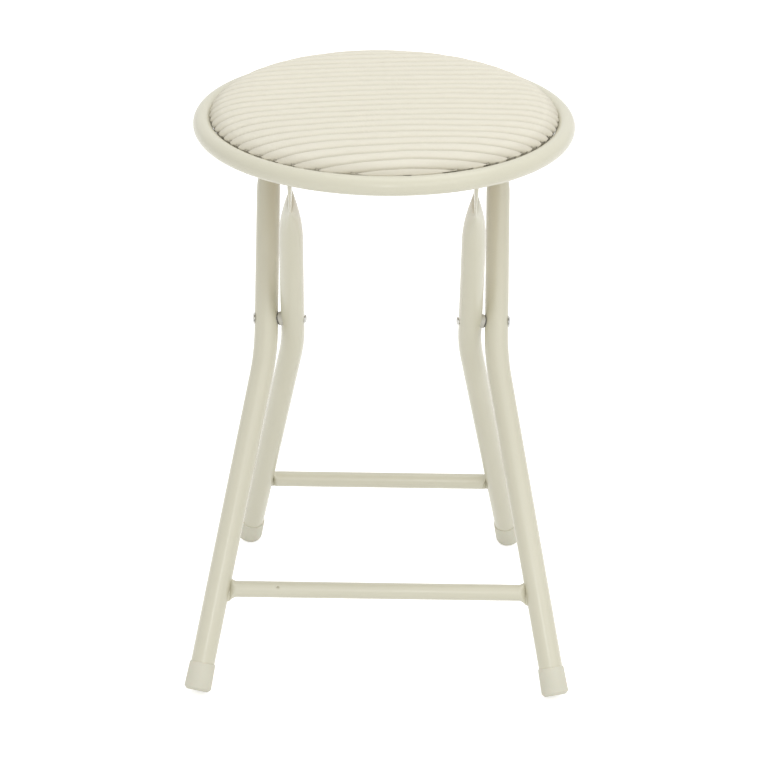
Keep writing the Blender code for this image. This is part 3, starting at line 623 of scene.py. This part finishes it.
def make_cap(place, frame_name, side_name, leg, plastic):
    """A foot cap: hardly wider than the tube, with a soft mouth and a chamfer where it meets the floor."""
    tube, mouth, foot = LEG_TUBE / 2, LEG_TUBE / 2 + CAP_MOUTH_WALL, CAP_DIAMETER / 2
    chamfer, soft, lip = 0.0024, 0.0002, 0.0004
    profile = [(0.0, 0.0), (foot - chamfer - soft, 0.0), (foot - chamfer + soft, soft / 2)]
    profile += [(foot - 3 * soft, chamfer - 3.5 * soft), (foot - soft, chamfer - 1.5 * soft)]
    profile += [(foot, chamfer + 2 * soft), (mouth + lip / 4, CAP_LENGTH - 0.0025)]
    profile.append((mouth, CAP_LENGTH - 2 * lip))
    profile += list(arc((mouth - lip, CAP_LENGTH - lip), lip, 0, 90, 3))
    profile += [(tube + lip / 4, CAP_LENGTH), (tube - 0.0005, CAP_LENGTH - 0.0003)]
    bm = turned(profile, leg.cap_matrix(), 56)
    for vert in bm.verts:
        vert.co.z = max(vert.co.z, 0.0)
    node = f"foot_cap_{place}_{side_name}"
    finished(node + "_moulding", bm, plastic, BODY_OF[frame_name], [node])


def dome(diameter, height, base):
    """A low dome with a short upright edge, from its rim to its crown."""
    yield diameter / 2, base
    for across, rise in arc((0.0, 0.0), 1.0, 0, 90, 8):
        yield max(across, 0.0) * diameter / 2, base + height * (HEAD_EDGE + (1 - HEAD_EDGE) * rise)


def headed(shank, head, tail, length, shoulder=()):
    """Points up a rivet from the crown of its lower head to the crown of its upper head."""
    low = [(radius, -height) for radius, height in dome(*tail, 0.0)]
    return low[::-1] + [(shank / 2, 0.0), *shoulder, (shank / 2, length)] + list(dome(*head, length))


def make_turned(node, profile, matrix, plate, body):
    finished(node + "_shape", turned(profile, matrix), plate, body, [node])


def make_pivot_rivet(side_name, side, plate):
    """The rivet that the two frames turn on, through both tubes."""
    inside = INNER_LEG_X - LEG_TUBE / 2 - HEAD_GAP
    outside = OUTER_LEG_X + LEG_TUBE / 2 + HEAD_GAP
    profile = headed(PIVOT_SHANK, PIVOT_HEAD, PIVOT_PEEN, outside - inside)
    place = along_x(inside, 0.0, PIVOT_HEIGHT, side)
    make_turned(f"pivot_rivet_{side_name}", profile, place, plate, "outer_frame")


def make_hinge_rivet(side_name, side, plate):
    """The rivet that hinges the rail's ear to the outer leg's tab."""
    ear = RAIL_OUTER_X - RAIL_SHEET - HEAD_GAP
    tab = OUTER_LEG_X + TAB_THICKNESS / 2 + HEAD_GAP
    profile = headed(PIN_SHANK, PIN_HEAD, PIN_HEAD, tab - ear)
    y = (REAR_HINGE_HEIGHT - PIVOT_HEIGHT) * math.tan(LEAN)
    place = along_x(ear, y, REAR_HINGE_HEIGHT, side)
    make_turned(f"rear_hinge_rivet_{side_name}", profile, place, plate, "seat")


def make_front_pin(side_name, side, plate):
    """The pin in the inner leg's tab that the rail's notch sits on, with its shoulder."""
    low = INNER_LEG_X - TAB_THICKNESS / 2 - HEAD_GAP
    length = RAIL_INNER_X + RAIL_SHEET + HEAD_GAP - low
    radius, start, end = PIN_SHOULDER
    shoulder = [(PIN_SHANK / 2, start), (radius, start), (radius, end), (PIN_SHANK / 2, end)]
    profile = headed(PIN_SHANK, PIN_HEAD, PIN_COLLAR, length, shoulder)
    y = -(FRONT_PIN_HEIGHT - PIVOT_HEIGHT) * math.tan(LEAN)
    place = along_x(low, y, FRONT_PIN_HEIGHT, side)
    make_turned(f"front_pin_{side_name}", profile, place, plate, "inner_frame")


def make_bush(side_name, side, nylon):
    """The nylon bush between the tubes, hollowed on both faces to sit against them."""
    body = [(share, 1.0) for share in (0.0, 0.3, 0.5, 0.68)]
    neck = [(share, BUSH_NECK) for share in (0.69, 0.9, 1.0)]
    rings = []
    for share, size in body + neck:
        ring = []
        for point in circle(BUSH_RADIUS * size, 0.0, 40):
            y, z = point.x, point.y
            off_inner = y * math.cos(LEAN) + z * math.sin(LEAN)
            off_outer = y * math.cos(LEAN) - z * math.sin(LEAN)
            near = INNER_LEG_X + math.sqrt((LEG_TUBE / 2) ** 2 - off_inner**2)
            far = OUTER_LEG_X - math.sqrt((LEG_TUBE / 2) ** 2 - off_outer**2)
            ring.append(Vector((side * blended((near, far), share), y, PIVOT_HEIGHT + z)))
        rings.append(ring)
    bm = bmesh.new()
    # The neck's layer marks where the painted shade goes.
    in_neck = bm.verts.layers.float.new("neck")
    for ring in loft(bm, rings)[len(body):]:
        for vert in ring:
            vert[in_neck] = 1.0
    node = f"pivot_bush_{side_name}"
    finished(node + "_shape", bm, nylon, "outer_frame", [node])


def make_ring(coat):
    """The seat's ring, with the bead of its butt weld dressed nearly flush at the back."""
    bead_height, bead_half_width = 0.00012, 0.0022
    rings = []
    for i in range(RING_SPOKES):
        angle = 2 * math.pi * i / RING_SPOKES
        out = Vector((math.cos(angle), math.sin(angle), 0.0))
        from_weld = (angle - math.pi / 2) * RING_RADIUS / bead_half_width
        tube = RING_TUBE / 2 + bead_height * math.exp(-(from_weld**2))
        section = list(arc((RING_RADIUS, RING_HEIGHT), tube, 0, 360, RING_SIDES))
        rings.append([out * across + Vector((0.0, 0.0, rise)) for across, rise in section[:-1]])
    bm = bmesh.new()
    loft(bm, rings, closed=True)
    finished("seat_ring_tube", bm, coat, "seat", ["seat_ring"])


def make_board(wood):
    """The plywood disc, its top edge rounded over well so that it doesn't wear the cloth."""
    inside_cloth, edge, round_over = 0.002, 0.0006, 0.0052
    radius = BOARD_RADIUS - inside_cloth
    profile = [(0.0, 0.0), (BOARD_RADIUS * 0.5, 0.0), (radius - edge, 0.0), (radius, edge)]
    profile += list(arc((radius - round_over, BOARD_THICKNESS - round_over), round_over, 0, 90, 6))
    profile.append((0.0, BOARD_THICKNESS))
    bm = turned(profile, Matrix.Translation((0, 0, BOARD_BOTTOM)), 96)
    finished("seat_board_ply", bm, wood, "seat", ["seat_board"])


def crown(x, y):
    """The height of the pad's top with no ribs: full at the back, and falling away more gently in front."""
    radius = math.hypot(x, y)
    share = min(radius / COVER_RADIUS, 1.0)
    front = eased((0.45 - y / max(radius, 1e-6)) / 1.2)
    fall = share ** blended(COVER_SHOULDER, front)
    rise = COVER_CROWN * max(1 - fall, 0.0) ** blended(COVER_ROUNDNESS, front)
    tilt = COVER_TILT * max(y, FRONT_TILT * y) * (1 - fall)
    return COVER_EDGE_Z + edge_lift(x, y) * share**14 + rise + tilt


def edge_lift(x, y):
    """How far the pad's edge stands off the ring: most at the right of the front."""
    turn = math.atan2(y, x) + math.radians(48)
    return EDGE_LIFT * (1 + max(0.0, math.cos(turn)) ** 4)


def pad_form():
    """A plain closed form of the pad, in even cells."""
    tops = [(radius, crown(radius, 0) - FORM_UNDER_CREST) for radius in FORM_RADII]
    bottoms = [(radius, FORM_BOTTOM) for radius in FORM_BOTTOM_RADII]
    bm = bmesh.new()
    loft(bm, [list(circle(radius, height, 64)) for radius, height in tops + bottoms])
    form = placed("pad form", mesh_of("pad form", bm))
    even = form.modifiers.new("even", "REMESH")
    even.mode = "VOXEL"
    even.voxel_size = 0.005
    mesh = with_modifiers(form)
    form.modifiers.clear()
    form.data = mesh
    return form


def hold_edge(form):
    """The form's edge and underside are held while the rest swells."""
    held = form.vertex_groups.new(name="held")
    for vert in form.data.vertices:
        if vert.co.z < HELD_BELOW or math.hypot(vert.co.x, vert.co.y) > HELD_OUTSIDE:
            held.add([vert.index], 1.0, "REPLACE")


def pressed_up():
    """The pad blown up a little by a cloth simulation, as a tree to cast rays at."""
    form = pad_form()
    hold_edge(form)
    start = [vert.co.copy() for vert in form.data.vertices]
    settings = form.modifiers.new("cloth", "CLOTH").settings
    settings.quality = 6
    settings.mass = 0.25
    settings.vertex_group_mass = "held"
    settings.use_pressure = True
    settings.uniform_pressure_force = 4.0
    settings.effector_weights.gravity = 0.0
    settings.tension_stiffness = settings.compression_stiffness = 12.0
    settings.bending_stiffness = 1.5
    scene = bpy.context.scene
    for number in range(1, SWELL_FRAMES + 1):
        scene.frame_set(number)
    result = with_modifiers(form)
    moved = 0.0
    for vert, place in zip(result.vertices, start):
        step = vert.co - place
        moved = max(moved, step.length)
        vert.co = place + step * min(1.0, SWELL_LIMIT / max(step.length, 1e-9))
    scene.frame_set(1)
    print("the pad's cloth moved by up to", round(moved * 1000, 1), "mm")
    bpy.data.objects.remove(form)
    points = [vert.co.copy() for vert in result.vertices]
    faces = [tuple(face.vertices) for face in result.polygons]
    return BVHTree.FromPolygons(points, faces)


def swell_grid(tree):
    """Rows of heights by which the blown-up pad stands off the plain crown, and None out of reach."""
    steps = [(i - SWELL_CELLS / 2) * SWELL_CELL for i in range(SWELL_CELLS + 1)]
    grid = []
    for y in steps:
        line = []
        for x in steps:
            hit = tree.ray_cast(Vector((x, y, 0.6)), Vector((0, 0, -1)))[0]
            inside = math.hypot(x, y) < SWELL_REACH
            line.append(hit.z - crown(x, y) if hit and inside else None)
        grid.append(line)
    return grid


def pad_swell(tree):
    """A function for how far the blown-up pad stands off the plain crown at (x, y)."""
    if tree is None:
        return lambda x, y: 0.0
    grid = swell_grid(tree)
    middle = grid[SWELL_CELLS // 2][SWELL_CELLS // 2]
    lines = range(SWELL_CELLS + 1)
    for _ in range(3):
        grid = [[softened(grid, row, column) for column in lines] for row in lines]

    def height(x, y):
        column, row = x / SWELL_CELL + SWELL_CELLS / 2, y / SWELL_CELL + SWELL_CELLS / 2
        i, j = int(column), int(row)
        near, far = grid[j][i:i + 2], grid[j + 1][i:i + 2]
        if None in near + far:
            return 0.0
        lift = blended((blended(near, column - i), blended(far, column - i)), row - j)
        edge, width = SWELL_FADE
        return SWELL_SHARE * (lift - middle) * eased((edge - math.hypot(x, y)) / width)

    return height


def softened(grid, row, column):
    """The average of a cell and its neighbours, where there are any."""
    if grid[row][column] is None:
        return None
    near = []
    for j in (-1, 0, 1):
        for i in (-1, 0, 1):
            if 0 <= row + j < len(grid) and 0 <= column + i < len(grid[0]):
                near.append(grid[row + j][column + i])
    near = [value for value in near if value is not None]
    return sum(near) / len(near)


def rib_place(x, y):
    """How many ribs towards the back this point is, along slightly wavy ribs."""
    across = -x * math.sin(RIB_TURN) + y * math.cos(RIB_TURN)
    # The cloth curves down at the edge, so from above its last ribs lie closer together
    across *= 1 + EDGE_STRETCH * (math.hypot(x, y) / COVER_RADIUS) ** 10
    along = x * math.cos(RIB_TURN) + y * math.sin(RIB_TURN)
    place = (across + RIB_START) / RIB_PITCH
    for scale_along, scale_across, layer, size in RIB_WAVES:
        place += noise.noise(Vector((along * scale_along, across * scale_across, layer))) * size
    return place


def rib_relief(x, y):
    """How far below its crest the cord is here (0 to 1), and how deep in a groove (0 to 1)."""
    place = rib_place(x, y)
    rib = math.floor(place)
    off_crest = abs(2 * (place - rib) - 1)
    plump = 0.5 + 0.5 * noise.noise(Vector((x * 30.0, rib * 7.3, 1.0)))
    below = 1 - max(1 - off_crest**2.6, 0.0) ** 0.75
    return below * (0.85 + 0.3 * plump), max(0.0, (off_crest - 0.72) / 0.28)


def pad_profile(x, y, swell):
    """Radius, height and share of the ribs' relief along this direction, over the edge to the hem below."""
    yield 0.0, crown(0.0, 0.0) + swell(0.0, 0.0), 1.0
    for k in range(1, PAD_STEPS + 1):
        share = math.sin(math.pi / 2 * k / PAD_STEPS)
        radius = share * COVER_RADIUS
        height = crown(radius * x, radius * y) + swell(radius * x, radius * y)
        yield radius, height, 1.0 + 0.3 * share**60
    for angle, ribs in TUCK:
        turn = math.radians(angle)
        yield RING_RADIUS - TUCK_RADIUS * math.cos(turn), RING_HEIGHT + TUCK_RADIUS * math.sin(turn), ribs
    for radius, height in HEM:
        yield radius, height, 0.0


def cord_point(profile, k, x, y, angle):
    """Where this point of the profile ends up with the ribs' relief and the hem's small pleats."""
    radius, z, ribs = profile[k]
    before, after = profile[max(k - 1, 0)], profile[min(k + 1, len(profile) - 1)]
    outward = Vector((before[1] - after[1], after[0] - before[0])).normalized()
    below, groove = rib_relief(radius * x, radius * y)
    depth = below * ribs * RIB_DEPTH
    out, up = radius - outward.x * depth, z - outward.y * depth
    if ribs == 0.0:
        up -= abs(0.00022 * math.sin(angle * 61 + 3 * math.sin(angle * 7)))
        if radius < HEM_INNER_RADIUS:
            out += 0.0009 * noise.noise(Vector((radius * x * 60, radius * y * 60, 0)))
    share = radius / COVER_RADIUS
    # The mouth mark says where painted shade goes: the groove ends near the ring and the whole tuck.
    mouth = max(0.0, min(1.0, (share - 0.975) / 0.015)) * groove
    if PAD_STEPS < k <= PAD_STEPS + len(TUCK):
        mouth = 1.0
    # The rim mark says where the painted shade of the turned-down rim goes.
    rim = max(0.0, min(1.0, (share - 0.93) / 0.06)) if ribs else 0.0
    return Vector((out * x, out * y, up)), {"groove": groove * ribs, "mouth": mouth, "rim": rim}


def make_cushion(cord):
    """The corded pad: its top follows the blown-up form, and each rib runs over the edge and under it."""
    swell = pad_swell(pressed_up())
    bm = bmesh.new()
    # These layers say where painted shade goes: in the grooves, at their mouths and on the rim.
    layers = {name: bm.verts.layers.float.new(name) for name in ("groove", "mouth", "rim")}
    rays = []
    for i in range(PAD_SPOKES):
        angle = 2 * math.pi * i / PAD_SPOKES
        x, y = math.cos(angle), math.sin(angle)
        profile = list(pad_profile(x, y, swell))
        ray = []
        for k in range(len(profile)):
            if k == 0 and rays:
                ray.append(rays[0][0])
                continue
            point, marks = cord_point(profile, k, x, y, angle)
            vert = bm.verts.new(point)
            for name, value in marks.items():
                vert[layers[name]] = value
            ray.append(vert)
        rays.append(ray)
    for ray, following in zip(rays, rays[1:] + rays[:1]):
        bm.faces.new((ray[0], ray[1], following[1]))
        for k in range(1, len(ray) - 1):
            bm.faces.new((ray[k], ray[k + 1], following[k + 1], following[k]))
    bm.faces.new([ray[-1] for ray in reversed(rays)])
    bmesh.ops.recalc_face_normals(bm, faces=bm.faces)
    pad = finished("seat_cushion_cord", bm, cord, "seat", ["seat_cover", "seat_foam"], 180)


def dress_cad_nodes(finishes):
    """The plain hardware keeps its CAD shape and takes a finish."""
    finish_of = {"seat_rail": "coat", "board_screw": "zinc", "hinge_washer": "zinc"}
    for name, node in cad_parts.items():
        for start, kind in finish_of.items():
            if name.startswith(start):
                node.data.materials.clear()
                node.data.materials.append(finishes[kind])


def place_camera():
    """The camera of the photograph: from in front and above, nearly level."""
    picture, focal = 765, 3421.0  # in pixels
    side, down = -1.806, -19.487  # from the picture's middle to the target, in pixels
    azimuth, elevation, roll = math.radians(0.117), math.radians(23.478), math.radians(0.75)
    target, distance = Vector((0.0, 0.0, 0.230)), 2.76975
    level = math.cos(elevation)
    back = Vector((math.sin(azimuth) * level, -math.cos(azimuth) * level, math.sin(elevation)))
    right = (-back).cross(Vector((0, 0, 1))).normalized()
    up = right.cross(-back)
    yaw, pitch = math.atan(side / focal), math.atan(down / focal)
    ahead = Matrix.Rotation(yaw, 3, up) @ -back
    right = Matrix.Rotation(yaw, 3, up) @ right
    ahead = Matrix.Rotation(pitch, 3, right) @ ahead
    up = right.cross(ahead)
    right, up = right * math.cos(roll) + up * math.sin(roll), up * math.cos(roll) - right * math.sin(roll)
    data = bpy.data.cameras.new("camera")
    data.sensor_width = 36.0
    data.lens = focal / picture * data.sensor_width
    data.clip_end = 50.0
    camera = placed("camera", data)
    turn = Matrix((right, up, -ahead)).transposed()
    camera.matrix_world = Matrix.Translation(target + back * distance) @ turn.to_4x4()
    bpy.context.scene.camera = camera


def area_light(name, place, aim, width, height, power):
    data = bpy.data.lights.new(name, "AREA")
    data.shape = "RECTANGLE"
    data.size, data.size_y = width, height
    data.energy = power
    light = placed(name, data)
    light.location = place
    light.rotation_mode = "QUATERNION"
    light.rotation_quaternion = (Vector(aim) - Vector(place)).to_track_quat("-Z", "Y")


def make_floor():
    """A pale floor that glows where it is seen directly, so that it looks white."""
    grey, glow = (0.84, 0.84, 0.83, 1), (0.58, 0.58, 0.58, 1)
    bm = bmesh.new()
    bmesh.ops.create_grid(bm, x_segments=8, y_segments=8, size=6.0)
    mesh = mesh_of("floor", bm)
    paint = Finish("pale floor", Roughness=0.9, Base_Color=grey, Emission_Strength=1.0)
    path = paint.node("ShaderNodeLightPath", {}, {})
    camera, glossy, transmission = [path.number(name) for name in SEEN_DIRECTLY]
    seen = (camera + glossy + transmission).clamped()
    mesh.materials.append(paint.use(Emission_Color=paint.mix(seen, (0, 0, 0, 1), glow)))
    floor = placed("floor", mesh)


def white_surround():
    """A world that is full white where it is seen directly, and lights the object a little less brightly."""
    dimmed, difference = 0.78, 0.22
    world = bpy.data.worlds.new("studio")
    bpy.context.scene.world = world
    world.use_nodes = True
    nodes, links = world.node_tree.nodes, world.node_tree.links
    background = nodes["Background"]
    background.inputs["Color"].default_value = (1.0, 1.0, 1.0, 1.0)
    path = nodes.new("ShaderNodeLightPath")
    last = None
    for name in SEEN_DIRECTLY:
        step = nodes.new("ShaderNodeMath")
        step.operation = "MULTIPLY_ADD"
        links.new(path.outputs[name], step.inputs[0])
        step.inputs[1].default_value = difference
        step.inputs[2].default_value = dimmed
        if last:
            links.new(last, step.inputs[2])
        last = step.outputs[0]
    links.new(last, background.inputs["Strength"])


def light_scene():
    """Soft studio light: a wide panel in front, mostly to the right, and weak ones in front and above."""
    area_light("panel", place=(0.95, -1.95, 1.5), aim=(0, 0, 0.3), width=3.2, height=1.6, power=14.0)
    area_light("window", place=(0.1, -2.4, 1.25), aim=(0, 0, 0.3), width=0.22, height=0.22, power=2.4)
    area_light("top", place=(0.3, 0.2, 2.1), aim=(0, 0, 0.35), width=1.4, height=1.4, power=7.5)
    white_surround()
    bpy.context.scene.view_settings.view_transform = "Standard"


def build():
    place_camera()
    finishes = {
        "coat": powder_coat(),
        "zinc": zinc(),
        "cap": cap_plastic(),
        "bush": bush_plastic(),
        "wood": plywood(),
        "cord": corduroy(),
    }
    legs = make_legs(finishes["coat"])
    bar, middle = make_crossbar("front_crossbar", "outer", legs["outer", "right"], finishes["coat"])
    make_vent(bar, middle)
    make_crossbar("rear_crossbar", "inner", legs["inner", "right"], finishes["coat"])
    for side_name, _ in SIDES:
        make_cap("front", "outer", side_name, legs["outer", side_name], finishes["cap"])
        make_cap("rear", "inner", side_name, legs["inner", side_name], finishes["cap"])
    for side_name, side in SIDES:
        make_pivot_rivet(side_name, side, finishes["zinc"])
        make_hinge_rivet(side_name, side, finishes["zinc"])
        make_front_pin(side_name, side, finishes["zinc"])
        make_bush(side_name, side, finishes["bush"])
    make_ring(finishes["coat"])
    make_board(finishes["wood"])
    make_cushion(finishes["cord"])
    dress_cad_nodes(finishes)
    make_floor()
    light_scene()


build()
